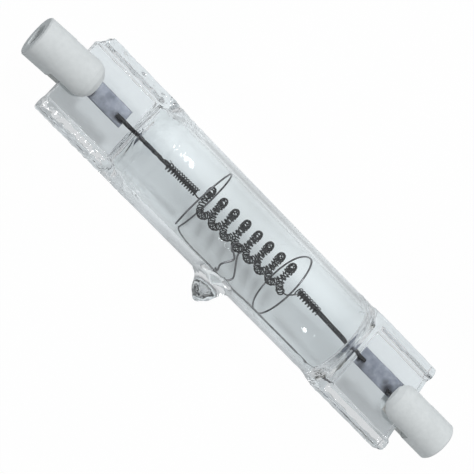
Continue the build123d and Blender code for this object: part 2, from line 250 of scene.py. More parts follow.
quartz = {
    "radius": 6.5,
    "hollow": 5.5,
    "tubeEnd": 17.6,
    "pinchStart": 20.9,
    "pinchEnd": 32.8,
    "width": 13.2,
    "rim": 4.0,
    "web": 2.2,
    "rimCorner": 0.8,
    "webEdge": (5.45, 4.75),  # from the rim's top down to the web
    "webStart": (20.7, 21.9),
    "outlineCounts": (12, 24, 160),  # points of a quarter's side, corner and face
    "quarterSteps": 48,
    # the side has more of a quarter's steps than of its length
    "sideSteps": 0.6,
    "sideLength": 0.45,
    # rings along X: start, end and step
    "tipRows": (-3.2, 3.2, 0.13),
    "tubeRows": (-16.0, 16.1, 0.45),
    "shoulderRows": (16.2, 21.7, 0.08),
    "pinchRows": (21.8, 32.5, 0.22),
    "endRows": (32.6, 32.7, 32.76, 32.8),
    "hollowTubeRows": (-17.0, 17.01, 0.5),
    "hollowShoulderRows": (17.2, 20.3, 0.2),
    "hollowEndRows": (20.3, 20.4, 20.46, 20.5),
    "hollowCount": 96,
    "hollowSlot": (5.0, 0.2, 20.5),  # half width, half height and place of its end
    "hollowPress": (0.3, 0.4),  # how far the hollow's flattening reaches past the tube's and its own end
    "hollowRound": 0.5,
    "hollowThinnest": 0.01,
    "hollowLump": (1.1, 0.75, 4.0),  # height and width of the hollow in the tip, and its reach
    "tipPlace": -0.15,
    "tipProfile": ((0, 3.32), (0.4, 3.2), (0.8, 2.8), (1.2, 2.45), (1.6, 1.85), (1.95, 1.1),
                   (2.3, 0.5), (2.7, 0.17), (3.2, 0.0)),
    "tipReach": 5.0,
    # the tube is a little fuller on the tip's side, left of the tip: share, and its fall over a span
    "fullness": (0.035, 0.075),
    "fullnessSpan": (-3.0, 4.0),
    # rings that the press left across the shoulders: place, depth and width
    "pressRings": ((17.2, -0.03, 0.35), (18.3, 0.03, 0.35), (20.3, 0.05, 0.3)),
    # fine folds across the shoulders: place in the middle, shift towards +Y and towards -Y, depth
    "foldsLeft": ((21.2, -1.2, -1.4, 0.05), (21.3, -0.2, -0.6, 0.05), (20.6, -1.6, -2.0, 0.025)),
    "foldsRight": ((19.0, -2.4, -0.7, 0.055), (19.25, -1.5, -0.1, 0.05), (19.5, -0.4, 0.6, 0.06),
                   (19.85, 0.5, 1.1, 0.05)),
    "foldWidth": 0.13,
    "foldSpan": (16.2, 22.0),
    # where the marks are: the crinkle above the left shoulder (its span, its lowest Y, place and
    # width), the pressed waves (start and run-in) and the tip's (highest Y and reach)
    "cornerMark": (20.5, 21.6, 0.4, 21.0, 0.3),
    "pressedMarks": (15.0, 4.0),
    "tipMarks": (-6.6, 3.0),
    # where the pinches end: place and slant of the right end, place of the left one and the depth
    # and span of its lost corner
    "rightEnd": (32.33, 0.125),
    "leftEnd": (32.85, 1.0, 5.0, 6.4),
    "stretchStart": 22.0,
    "edgeStart": 32.5,
    "edgeRound": 0.3,
    "rimInside": 4.6,
    "liftInside": 5.6,  # the web's marks rise square to it
    "boxY": (-9.84, 6.59),
    "boxZ": (-6.49, 6.49),
    "colour": (0.965, 0.985, 0.985, 1.0),
    "shadowTint": (0.86, 0.865, 0.87, 1.0),
    "ior": 1.458,
    "streakScale": 260.0,
    "streakRange": (0.45, 0.8),  # levels of the streaks between which the haze comes
    "streakStretch": (0.35, 1.0, 1.0),  # drawn out along the tube
    "haze": 0.02,
    "relief": 0.25,
    "reliefDepth": 0.02,
    "deepest": 3.0,  # light that has gone deeper than this goes straight on
}

# waves and crinkles of the glass: depth, scale and seed
glassMarks = {
    "shoulderCorner": (0.05, 3.6, 12.0),
    "pressed": (0.035, 0.9, 3.0),
    "leftRimSlow": (0.11, 1.4, 8.0),
    "leftRimFine": (0.05, 3.4, 1.0),
    "leftWeb": (0.03, 1.7, 5.0),
    "rightRim": (0.05, 1.2, 2.0),
    "tube": (0.006, 0.35, 4.0),
    "tipSlow": (0.12, 0.9, 6.0),
    "tipFine": (0.05, 2.4, 2.0),
    "tipGrain": (0.03, 5.5, 9.0),
}


def quarterOutline(webbed):
    # a quarter of the pinch's outline, from the middle of its side to the middle of its face
    half, top, corner = quartz["width"] / 2, quartz["rim"] / 2, quartz["rimCorner"]
    sideCount, cornerCount, faceCount = quartz["outlineCounts"]
    line = [(half, z) for z in np.linspace(0, top - corner, sideCount)]
    for angle in np.linspace(0, math.pi / 2, cornerCount)[1:]:
        line.append((half - corner + corner * math.cos(angle), top - corner + corner * math.sin(angle)))
    outer, inner = quartz["webEdge"]
    for y in np.linspace(half - corner, 0, faceCount)[1:]:
        fall = smoothStep(outer, inner, y) if webbed else 0.0
        line.append((y, top - fall * (top - quartz["web"] / 2)))
    line = np.array(line)
    along = np.concatenate([[0], np.cumsum(np.hypot(*np.diff(line, axis=0).T))])
    along /= along[-1]
    steps, split = quartz["quarterSteps"], quartz["sideLength"]
    near = int(steps * quartz["sideSteps"])
    places = np.concatenate([np.linspace(0, split, near + 1)[:-1], np.linspace(split, 1, steps - near + 1)])
    return np.interp(places, along, line[:, 0]), np.interp(places, along, line[:, 1]), places


def fullRing(y, z):
    # mirrors a quarter into a closed ring, counter-clockwise from +Y
    top = np.column_stack([np.concatenate([y, -y[-2::-1]]), np.concatenate([z, z[-2::-1]])])
    low = top[1:-1][::-1] * np.array([1, -1])
    return np.vstack([top, low])


plainY, plainZ, quarterPlaces = quarterOutline(False)
webY, webZ, _ = quarterOutline(True)
plainRing = fullRing(plainY, plainZ)
webRing = fullRing(webY, webZ)
roundRing = fullRing(np.cos(quarterPlaces * math.pi / 2), np.sin(quarterPlaces * math.pi / 2))
ringCount = len(roundRing)


def endEdge(side, y):
    # where the pinch ends: the right one was cut aslant, the left one has lost a corner
    if side > 0:
        end, slant = quartz["rightEnd"]
        return end - slant * y
    end, depth, low, high = quartz["leftEnd"]
    return end - depth * smoothStep(low, high, y)


def glassRows():
    # places of the rings, closest at the tip, over the shoulders and at the ends
    start, end, step = quartz["tubeRows"]
    tip = np.arange(*quartz["tipRows"]) + quartz["tipPlace"]
    tube = np.concatenate([np.arange(start, tip[0] - 0.2, step), tip, np.arange(tip[-1] + 0.3, end, step)])
    half = np.concatenate([np.arange(*quartz["shoulderRows"]), np.arange(*quartz["pinchRows"]),
                           quartz["endRows"]])
    return np.concatenate([-half[::-1], tube, half])


def outerRow(x):
    side = 1 if x > 0 else -1
    reach = abs(x)
    pressed = float(smoothStep(quartz["tubeEnd"], quartz["pinchStart"], reach))
    webbed = float(smoothStep(*quartz["webStart"], reach))
    ring = roundRing * quartz["radius"] * (1 - pressed)
    ring = ring + pressed * (plainRing * (1 - webbed) + webRing * webbed)
    y, z = ring[:, 0].copy(), ring[:, 1].copy()
    most, fall = quartz["fullness"]
    fuller = most - fall * float(smoothStep(*quartz["fullnessSpan"], x))
    y = np.where(y < 0, y * (1 + fuller * (1 - pressed)), y)
    fold = sum(depth * bump(reach, place, width) for place, depth, width in quartz["pressRings"])
    z = z * (1 + fold / 4)
    xs = np.full_like(y, x)
    if reach < quartz["tipReach"]:
        away = np.hypot(x - quartz["tipPlace"], z)
        y = np.where(y < 0, y - np.interp(away, *zip(*quartz["tipProfile"])), y)
    end, begin = quartz["pinchEnd"], quartz["stretchStart"]
    if reach > begin:
        stretch = (reach - begin) / (end - begin)
        xs = side * (reach + stretch * np.array([endEdge(side, v) - end for v in y]))
    # the ends' edges are rounded off
    past = (reach - quartz["edgeStart"]) / quartz["edgeRound"]
    if past > 0:
        cut = quartz["edgeRound"] * (1 - math.sqrt(max(0.0, 1 - past ** 2)))
        y = y * (1 - cut / (quartz["width"] / 2))
        z = z * (1 - cut / (quartz["rim"] / 2))
    return xs, y, z


def shoulderFolds(x, y):
    total = 0.0
    for middle, up, down, depth in quartz["foldsRight" if x > 0 else "foldsLeft"]:
        place = middle + (up * (y / 6) ** 1.5 if y > 0 else down * -y / 5)
        total += depth * math.exp(-((abs(x) - place) / quartz["foldWidth"]) ** 2)
    return total


def rimMarks(x, y, z):
    # how far crinkles and waves lift the quartz here
    def marks(*names):
        return sum(depth * ripple(x, y, z, scale, seed) for depth, scale, seed in map(glassMarks.get, names))

    reach = abs(x)
    low, high = quartz["foldSpan"]
    lift = shoulderFolds(x, y) if low < reach < high else 0.0
    low, high, lowest, place, width = quartz["cornerMark"]
    if x < 0 and low < reach < high and y > lowest:
        lift += marks("shoulderCorner") * math.exp(-((reach - place) / width) ** 2)
    start, length = quartz["pressedMarks"]
    if reach > start:
        lift += min(1.0, (reach - start) / length) * marks("pressed")
        onRim = abs(y) > quartz["rimInside"]
        if x < 0:
            lift += marks("leftRimSlow", "leftRimFine") if onRim else marks("leftWeb")
        elif onRim:
            lift += marks("rightRim")
    else:
        lift += marks("tube")
    highest, span = quartz["tipMarks"]
    if y < highest and reach < span:
        lift += marks("tipSlow", "tipFine", "tipGrain")
    return lift


def hollowRows():
    tube = np.arange(*quartz["hollowTubeRows"])
    half = np.concatenate([np.arange(*quartz["hollowShoulderRows"]), quartz["hollowEndRows"]])
    return np.concatenate([-half[::-1], tube, half])


def hollowRow(x, count):
    reach = abs(x)
    halfWidth, halfHeight, end = quartz["hollowSlot"]
    before, after = quartz["hollowPress"]
    pressed = float(smoothStep(quartz["tubeEnd"] - before, end + after, reach))
    angles = np.arange(count) * 2 * math.pi / count
    wide = quartz["hollow"] * (1 - pressed) + halfWidth * pressed
    high = quartz["hollow"] * (1 - pressed) + halfHeight * pressed
    rounding = quartz["hollowRound"]
    if reach > end - rounding:
        close = math.sqrt(max(0.0, 1 - ((reach - end + rounding) / rounding) ** 2))
        wide = wide * (0.9 + 0.1 * close)
        high = high * close + quartz["hollowThinnest"]
    y, z = wide * np.cos(angles), high * np.sin(angles)
    height, width, span = quartz["hollowLump"]
    if reach < span:
        away = np.hypot(x - quartz["tipPlace"], z)
        y = np.where(y < 0, y - height * bump(away, 0.0, width), y)
    return np.full_like(y, x), y, z


def quartzMaterial():
    material = bpy.data.materials.new("fusedQuartz")
    material.use_nodes = True
    tree = material.node_tree
    shader = tree.nodes["Principled BSDF"]
    setInputs(shader, {"Base Color": quartz["colour"], "Transmission Weight": 1.0,
                       "IOR": quartz["ior"]})
    place = addNode(tree, "ShaderNodeTexCoord", (-1200, -200))
    spread = addNode(tree, "ShaderNodeMapping", (-1000, -200))
    spread.inputs["Scale"].default_value = quartz["streakStretch"]
    drawn = addNode(tree, "ShaderNodeTexNoise", (-800, -200))
    setInputs(drawn, {"Scale": quartz["streakScale"], "Detail": 2.0})
    haze = addNode(tree, "ShaderNodeMapRange", (-500, 0))
    low, high = quartz["streakRange"]
    setInputs(haze, {"From Min": low, "From Max": high, "To Min": 0.0, "To Max": quartz["haze"]})
    relief = addNode(tree, "ShaderNodeBump", (-500, -300))
    setInputs(relief, {"Strength": quartz["relief"], "Distance": quartz["reliefDepth"] * mm})
    clear = addNode(tree, "ShaderNodeBsdfTransparent", (0, -200))
    clear.inputs["Color"].default_value = quartz["shadowTint"]
    rays = addNode(tree, "ShaderNodeLightPath", (-400, 400))
    # shadows and soft light go straight on, and so does light that has bounced about inside for long
    passing = addNode(tree, "ShaderNodeMath", (-100, 400), operation="MAXIMUM")
    deep = addNode(tree, "ShaderNodeMath", (-200, 600), operation="GREATER_THAN")
    deep.inputs[1].default_value = quartz["deepest"]
    either = addNode(tree, "ShaderNodeMath", (50, 500), operation="MAXIMUM")
    mix = addNode(tree, "ShaderNodeMixShader", (250, 100))
    connect(tree, (rays, "Ray Depth", deep, 0), (deep, 0, either, 0),
                  (place, "Object", spread, "Vector"), (spread, "Vector", drawn, "Vector"),
                  (drawn, "Fac", haze, "Value"), (haze, "Result", shader, "Roughness"),
                  (drawn, "Fac", relief, "Height"), (relief, "Normal", shader, "Normal"),
                  (rays, "Is Shadow Ray", passing, 0), (rays, "Is Diffuse Ray", passing, 1),
                  (passing, 0, either, 1), (either, 0, mix, "Fac"), (shader, "BSDF", mix, 1),
                  (clear, "BSDF", mix, 2), (mix, "Shader", tree.nodes["Material Output"], "Surface"))
    return material


def makeQuartz():
    points, faces = [], []
    rows = glassRows()
    for x in rows:
        grid = np.column_stack(outerRow(x))
        for i in range(len(grid)):
            way = grid[i] * np.array([0, 1, 1])
            if abs(x) > quartz["pinchStart"] and abs(grid[i][1]) < quartz["liftInside"]:
                way = np.array([0, 0, grid[i][2]])
            size = np.linalg.norm(way)
            if size > 0:
                grid[i] = grid[i] + way / size * rimMarks(*grid[i])
        grid[:, 1] = np.clip(grid[:, 1], *quartz["boxY"])
        grid[:, 2] = np.clip(grid[:, 2], *quartz["boxZ"])
        points += grid.tolist()
    faces += ringFaces(len(rows), ringCount) + capFaces(len(rows), ringCount)
    first, count, inner = len(points), quartz["hollowCount"], hollowRows()
    for x in inner:
        points += np.column_stack(hollowRow(x, count)).tolist()
    faces += ringFaces(len(inner), count, first, True) + capFaces(len(inner), count, first, True)
    return newMesh("quartzGlass", np.array(points), faces, quartzMaterial())


quartzGlass = makeQuartz()
print("quartz envelope:", len(quartzGlass.data.polygons), "faces")


# filament: fine winding along a wide coil, and leg coils on the leads

filament = {
    "turns": 7.75,
    "pitch": 2.17,
    "radius": 1.72,
    "start": -8.9,
    "rise": 0.69,
    "lean": 2.3,
    "pathSteps": 48,
    "windingRadius": 0.45,
    "wireRadius": 0.092,
    "fineTurns": 170.0,
    "fineSteps": 14,
    "sides": 7,
    # foot and tip of each lead, turns and pitch of its coil, and the side from which its tail comes
    "legs": (((-24.65, 0.0), (-9.95, 0.3), 13, 0.41, (-0.6, 0.8)),
             ((23.3, 0.6), (9.75, 0.95), 8, 0.51, (-0.8, 0.6))),
    "legRadius": 0.54,
    "legWire": 0.082,
    "legSteps": 26,
    "legPathSteps": 30,
    "legSides": 8,
    "legOverhang": 0.2,
    "tailWire": 0.1,
    "tailSag": 0.35,
}

tungstenLook = {
    "dark": (0.003, 0.003, 0.004), "light": (0.012, 0.012, 0.014), "roughness": (0.14, 0.26),
    "specular": 0.6, "grainScale": 2600.0, "blotchScale": 500.0, "relief": 0.3,
}
tungsten = grainedMaterial("drawnTungsten", tungstenLook)


def windingTree():
    # winds a wire round any path, as a tube with closed ends
    tree = bpy.data.node_groups.new("windAlongPath", "GeometryNodeTree")
    face = tree.interface
    face.new_socket("Geometry", in_out="INPUT", socket_type="NodeSocketGeometry")
    for name, kind in (("Turns", "Float"), ("Steps", "Int"), ("Coil Radius", "Float"),
                       ("Wire Radius", "Float"), ("Sides", "Int")):
        face.new_socket(name, in_out="INPUT", socket_type="NodeSocket" + kind)
    face.new_socket("Material", in_out="INPUT", socket_type="NodeSocketMaterial")
    face.new_socket("Geometry", in_out="OUTPUT", socket_type="NodeSocketGeometry")
    start = addNode(tree, "NodeGroupInput", (-1200, 0))
    end = addNode(tree, "NodeGroupOutput", (1200, 0))
    count = addNode(tree, "ShaderNodeMath", (-1000, 200), operation="MULTIPLY")
    sample = addNode(tree, "GeometryNodeResampleCurve", (-800, 100))
    along = addNode(tree, "GeometryNodeSplineParameter", (-1000, -200))
    turned = addNode(tree, "ShaderNodeMath", (-800, -200), operation="MULTIPLY")
    angle = addNode(tree, "ShaderNodeMath", (-600, -200), operation="MULTIPLY")
    angle.inputs[1].default_value = 2 * math.pi
    cosine = addNode(tree, "ShaderNodeMath", (-400, -150), operation="COSINE")
    sine = addNode(tree, "ShaderNodeMath", (-400, -300), operation="SINE")
    normal = addNode(tree, "GeometryNodeInputNormal", (-800, -450))
    tangent = addNode(tree, "GeometryNodeInputTangent", (-800, -600))
    cross = addNode(tree, "ShaderNodeVectorMath", (-600, -500), operation="CROSS_PRODUCT")
    sideways = addNode(tree, "ShaderNodeVectorMath", (-200, -250), operation="SCALE")
    upward = addNode(tree, "ShaderNodeVectorMath", (-200, -450), operation="SCALE")
    both = addNode(tree, "ShaderNodeVectorMath", (0, -300), operation="ADD")
    offset = addNode(tree, "ShaderNodeVectorMath", (200, -300), operation="SCALE")
    move = addNode(tree, "GeometryNodeSetPosition", (400, 100))
    section = addNode(tree, "GeometryNodeCurvePrimitiveCircle", (400, -200))
    body = addNode(tree, "GeometryNodeCurveToMesh", (600, 100))
    body.inputs["Fill Caps"].default_value = True
    paint = addNode(tree, "GeometryNodeSetMaterial", (1000, 100))
    connect(tree, (start, "Turns", count, 0), (start, "Steps", count, 1),
                  (start, "Geometry", sample, "Curve"), (count, 0, sample, "Count"),
                  (along, "Factor", turned, 0), (start, "Turns", turned, 1), (turned, 0, angle, 0),
                  (angle, 0, cosine, 0), (angle, 0, sine, 0), (tangent, 0, cross, 0),
                  (normal, 0, cross, 1), (normal, 0, sideways, 0), (cosine, 0, sideways, "Scale"),
                  (cross, 0, upward, 0), (sine, 0, upward, "Scale"), (sideways, 0, both, 0),
                  (upward, 0, both, 1), (both, 0, offset, 0), (start, "Coil Radius", offset, "Scale"),
                  (sample, "Curve", move, "Geometry"), (offset, 0, move, "Offset"),
                  (start, "Sides", section, "Resolution"), (start, "Wire Radius", section, "Radius"),
                  (move, "Geometry", body, "Curve"), (section, "Curve", body, "Profile Curve"),
                  (body, "Mesh", paint, "Geometry"), (start, "Material", paint, "Material"),
                  (paint, "Geometry", end, "Geometry"))
    return tree


windAlongPath = windingTree()


def wound(name, route, turns, steps, coilRadius, wireRadius, sides):
    piece = pathCurve(name + "Path", route)
    modifier = piece.modifiers.new("winding", "NODES")
    modifier.node_group = windAlongPath
    named = {item.name: item.identifier for item in windAlongPath.interface.items_tree
             if item.item_type == "SOCKET" and item.in_out == "INPUT"}
    modifier[named["Turns"]] = float(turns)
    modifier[named["Steps"]] = int(steps)
    modifier[named["Coil Radius"]] = coilRadius * mm
    modifier[named["Wire Radius"]] = wireRadius * mm
    modifier[named["Sides"]] = int(sides)
    modifier[named["Material"]] = tungsten
    return asMesh(piece, name)


def coilPoint(turn):
    # a point of the wide coil's middle line, which leans in the flat of the pinch
    x = filament["start"] + filament["pitch"] * turn
    y = filament["radius"] * math.sin(2 * math.pi * turn)
    z = filament["radius"] * math.cos(2 * math.pi * turn)
    lean = math.radians(filament["lean"])
    return np.array([x * math.cos(lean) - y * math.sin(lean),
                     x * math.sin(lean) + y * math.cos(lean) + filament["rise"], z])


def makeFilament():
    turns = filament["turns"]
    wide = [coilPoint(turn) for turn in np.linspace(0, turns, int(turns * filament["pathSteps"]))]
    parts = [wound("fineWinding", wide, filament["fineTurns"], filament["fineSteps"],
                   filament["windingRadius"], filament["wireRadius"], filament["sides"])]
    for (foot, tip, count, pitch, toward), coilEnd in zip(filament["legs"], (coilPoint(0), coilPoint(turns))):
        tip = np.array([*tip, 0.0])
        along = unit(np.array([*foot, 0.0]) - tip)
        start = tip - along * filament["legOverhang"]
        end = start + along * count * pitch
        route = [start + (end - start) * s for s in np.linspace(0, 1, filament["legPathSteps"])]
        parts.append(wound("legCoil", route, count, filament["legSteps"], filament["legRadius"],
                           filament["legWire"], filament["legSides"]))
        root = tip + np.array([0, *toward]) * filament["legRadius"]
        bend = root + (coilEnd - root) * 0.5 - np.array([0, filament["tailSag"], 0])
        tail = pathCurve("tail", smoothRoute([root, bend, coilEnd]), filament["tailWire"])
        tail.data.materials.append(tungsten)
        parts.append(asMesh(tail, "tailWire"))
    return joined(parts, "coiledFilament")


coiledFilament = makeFilament()
print("filament:", len(coiledFilament.data.polygons), "faces")


# support frame and middle hook, both bent from thin wire

wires = {
    "frameWire": 0.125,
    "frameRadius": 5.3,
    "openRing": -8.35,
    "openTilt": (1.0, -0.113, 0.387),
    "openArc": (151.0, -293.0),  # start and sweep
    "openSteps": 110,
    "runStart": -5.5,
    "runEnd": 21.9,
    "runSteps": 60,
    "bendSteps": 24,
    # the run leaves the wall a little towards the right: level, rise and where it rises
    "runLevel": (-5.2, 0.32, -3.0, 7.0),
    "closedRing": 7.2,
    "closedPitch": 0.5,
    "closedRadius": 4.95,
    "closedRise": 0.08,
    "closedSteps": 121,
    "hookWire": 0.13,
    "hookGap": 0.01,
    # the hook's knots on both sides: place along and height over the run
    "hookUp": ((-1.21, 0), (-0.75, 0), (-0.95, 0.6), (-0.8, 1.15)),
    "hookDown": ((1.45, 1.0), (1.35, 0.4), (1.0, 0), (0.55, 0)),
    "eyeTurn": 3.75,  # the turn of the wide coil that the eye holds
    "eyeRadius": 0.74,
    "eyeOpening": 0.45,
    "eyeKnots": 14,
    "neck": (0.85, -1.25, 0),
    "neckHalf": (0.18, 0.1, 0),
}

wireLook = {
    "dark": (0.06, 0.06, 0.065), "light": (0.2, 0.2, 0.21), "roughness": (0.22, 0.4),
    "metallic": 0.85, "grainScale": 1800.0, "blotchScale": 300.0, "relief": 0.2,
}
supportWire = grainedMaterial("supportWire", wireLook)


def runLevel(x):
    level, rise, low, high = wires["runLevel"]
    return level + rise * float(smoothStep(low, high, x))


def easedBend(start, startWay, end, endWay, count):
    # points between two ends, leaving and meeting them along their ways
    gap = np.linalg.norm(end - start)
    points = []
    for s in np.linspace(0, 1, count)[1:-1]:
        points.append((2 * s ** 3 - 3 * s ** 2 + 1) * start + (s ** 3 - 2 * s ** 2 + s) * startWay * gap
                      + (-2 * s ** 3 + 3 * s ** 2) * end + (s ** 3 - s ** 2) * endWay * gap)
    return points


def makeFrame():
    normal = unit(np.array(wires["openTilt"]))
    across = unit(np.array([0, 1.0, 0]) - normal * normal[1])
    other = np.cross(normal, across)
    middle = np.array([wires["openRing"], 0, 0])
    start, sweep = wires["openArc"]
    ring = []
    for angle in np.radians(np.linspace(start, start + sweep, wires["openSteps"])):
        ring.append(middle + wires["frameRadius"] * (math.cos(angle) * across + math.sin(angle) * other))
    along = np.linspace(wires["runStart"], wires["runEnd"], wires["runSteps"])
    run = [np.array([x, runLevel(x), 0.0]) for x in along]
    bend = easedBend(ring[-1], unit(ring[-1] - ring[-2]), run[0], np.array([1.0, 0, 0]), wires["bendSteps"])
    closed = []
    for s in np.linspace(0, 1, wires["closedSteps"]):
        angle = math.pi + 2 * math.pi * s
        closed.append((wires["closedRing"] + wires["closedPitch"] * (s - 0.5),
                       wires["closedRise"] + wires["closedRadius"] * math.cos(angle),
                       wires["closedRadius"] * math.sin(angle)))
    parts = []
    for route in (ring + bend + run, closed):
        wire = pathCurve("wire", route, wires["frameWire"])
        wire.data.materials.append(supportWire)
        parts.append(asMesh(wire, "frameWire"))
    return joined(parts, "wireFrame")


def makeHook():
    eye = coilPoint(wires["eyeTurn"])
    eye[2] = 0
    level = runLevel(0) + wires["frameWire"] + wires["hookWire"] + wires["hookGap"]
    neck, half = eye + np.array(wires["neck"]), np.array(wires["neckHalf"])
    opening = math.atan2(wires["neck"][1], wires["neck"][0])
    first, last = opening - wires["eyeOpening"], opening - 2 * math.pi + wires["eyeOpening"]
    knots = [(x, level + height, 0) for x, height in wires["hookUp"]] + [neck - half]
    for angle in np.linspace(first, last, wires["eyeKnots"]):
        knots.append(eye + wires["eyeRadius"] * np.array([math.cos(angle), math.sin(angle), 0]))
    knots += [neck + half] + [(x, level + height, 0) for x, height in wires["hookDown"]]
    wire = pathCurve("hook", smoothRoute(knots), wires["hookWire"])
    wire.data.materials.append(supportWire)
    return asMesh(wire, "middleHook")


wireFrame = makeFrame()
middleHook = makeHook()
print("frame and hook ready")


# sealed foils: thin, slightly waved sheets with spot welds at both ends

foils = {
    "length": 7.9,
    "width": 2.8,
    "thickness": 0.06,
    "thinnest": 0.15,  # share of the thickness that the feathered edges keep
    "wave": (0.02, 0.9, 7.0),  # depth, scale and seed
    "steps": (60, 18),  # along and across
    "level": -0.27,
    # start along, place across, and lightness
    "left": (-31.15, 0.35, 1.0),
    "right": (21.9, 0.85, 1.2),
    "dark": (0.165, 0.18, 0.22),
    "light": (0.31, 0.335, 0.385),
    "burnt": (0.03, 0.03, 0.035, 1.0),
    # welds and burnt patches: place along, place across, reach and depth
    "leftWelds": ((-23.9, -0.2, 0.9, 0.8), (-24.6, -0.4, 1.2, 0.5), (-26.0, -0.9, 1.6, 0.25),
                  (-29.0, -0.3, 0.9, 0.9), (-28.3, -0.7, 1.8, 0.35)),
    "rightWelds": ((22.4, 0.2, 0.8, 0.9), (23.2, -0.2, 1.1, 0.7), (25.0, -0.3, 1.2, 0.2),
                   (27.6, 0.6, 0.9, 0.6), (28.3, 0.1, 1.2, 0.9), (28.6, -0.5, 0.9, 0.8)),
}


def foilMaterial(name, weldPlaces, lift):
    look = {
        "dark": tuple(lift * v for v in foils["dark"]), "light": tuple(lift * v for v in foils["light"]),
        "roughness": (0.3, 0.5), "metallic": 0.6, "grainScale": 1400.0, "blotchScale": 260.0,
        "relief": 0.25,
    }
    material = grainedMaterial(name, look)
    tree = material.node_tree
    shader = tree.nodes["Principled BSDF"]
    ramp = next(node for node in tree.nodes if node.type == "VALTORGB")
    place = addNode(tree, "ShaderNodeTexCoord", (-1400, 500))
    mask = None
    for x, y, reach, depth in weldPlaces:
        away = addNode(tree, "ShaderNodeVectorMath", (-1200, 500), operation="DISTANCE")
        away.inputs[1].default_value = (x * mm, y * mm, foils["level"] * mm)
        spot = addNode(tree, "ShaderNodeMapRange", (-1000, 500))
        setInputs(spot, {"From Min": 0.2 * reach * mm, "From Max": reach * mm, "To Min": depth,
                         "To Max": 0.0})
        connect(tree, (place, "Object", away, 0), (away, "Value", spot, "Value"))
        if mask is None:
            mask = spot.outputs["Result"]
        else:
            top = addNode(tree, "ShaderNodeMath", (-800, 500), operation="MAXIMUM")
            tree.links.new(mask, top.inputs[0])
            connect(tree, (spot, "Result", top, 1))
            mask = top.outputs[0]
    burnt = addNode(tree, "ShaderNodeMix", (-300, 300), data_type="RGBA")
    burnt.inputs["B"].default_value = foils["burnt"]
    tree.links.new(mask, burnt.inputs["Factor"])
    connect(tree, (ramp, "Color", burnt, "A"), (burnt, "Result", shader, "Base Color"))
    return material


def makeFoil(side):
    start, rise, lift = foils[side]
    alongSteps, acrossSteps = foils["steps"]
    depth, scale, seed = foils["wave"]
    rowCount = acrossSteps + 1
    points = []
    for face in (1, -1):
        for i in range(alongSteps + 1):
            for j in range(rowCount):
                x = start + foils["length"] * i / alongSteps
                away = 2 * j / acrossSteps - 1
                y = rise + away * foils["width"] / 2
                feather = math.sqrt(max(0.0, 1 - away ** 4)) * (1 - foils["thinnest"]) + foils["thinnest"]
                wave = depth * ripple(x, y, 0, scale, seed)
                points.append((x, y, foils["level"] + wave + face * feather * foils["thickness"] / 2))
    size = (alongSteps + 1) * rowCount
    faces = []
    for i in range(alongSteps):
        for j in range(acrossSteps):
            a = i * rowCount + j
            b, c, d = a + rowCount, a + rowCount + 1, a + 1
            faces.append((a, b, c, d))
            faces.append((size + d, size + c, size + b, size + a))
    edge = list(range(rowCount))
    edge += [i * rowCount + acrossSteps for i in range(1, alongSteps + 1)]
    edge += [alongSteps * rowCount + j for j in range(acrossSteps - 1, -1, -1)]
    edge += [i * rowCount for i in range(alongSteps - 1, 0, -1)]
    for i, a in enumerate(edge):
        b = edge[(i + 1) % len(edge)]
        faces.append((a, b, size + b, size + a))
    material = foilMaterial("rolledFoil" + side.capitalize(), foils[side + "Welds"], lift)
    return newMesh("foil" + side.capitalize(), np.array(points), faces, material)


foilLeft = makeFoil("left")
foilRight = makeFoil("right")
print("foils ready")


# finishes of the pieces that stay as the frame has them

leadLook = {
    "dark": (0.004, 0.004, 0.005), "light": (0.02, 0.02, 0.023), "roughness": (0.2, 0.4),
    "specular": 0.5, "grainScale": 1500.0, "blotchScale": 260.0, "relief": 0.25,
}
ceramicLook = {
    "dark": (0.63, 0.665, 0.675), "light": (0.71, 0.745, 0.755), "roughness": (0.62, 0.85),
    "specular": 0.3, "grainScale": 1600.0, "blotchScale": 150.0, "grainShare": 0.45,
    "relief": 0.35, "reliefDepth": 0.03,
}
cementLook = {
    "dark": (0.66, 0.64, 0.6), "light": (0.8, 0.79, 0.76), "roughness": (0.8, 0.95),
    "specular": 0.2, "grainScale": 900.0, "blotchScale": 200.0, "relief": 0.6, "reliefDepth": 0.06,
}
nickelLook = {
    "dark": (0.66, 0.66, 0.65), "light": (0.8, 0.8, 0.79), "roughness": (0.35, 0.5),
    "metallic": 0.5, "grainScale": 1500.0, "blotchScale": 300.0, "relief": 0.15,
}
# a lighter copy of the same steatite for the right base, painted light for the key lamp's weaker light at
# that end
paintedLightCeramicLook = dict(ceramicLook, dark=(0.7, 0.74, 0.75), light=(0.79, 0.83, 0.84))  # the right base's
finishes = {
    "inner_lead": ("drawnLead", leadLook),
    "ceramic_base": ("steatite", ceramicLook),
    "cement": ("dryCement", cementLook),
    "contact": ("turnedNickel", nickelLook),
    "ceramic_base_right": ("paintedLightSteatite", paintedLightCeramicLook),
}
made = {kind: grainedMaterial(name, look) for kind, (name, look) in finishes.items()}
made["outer_lead"] = made["inner_lead"]
for node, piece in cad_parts.items():
    kind = node.rsplit("_", 1)[0]
    if kind in made:
        piece.material_slots[0].material = made.get(node, made[kind])
print("finishes set")


# floor, light and camera

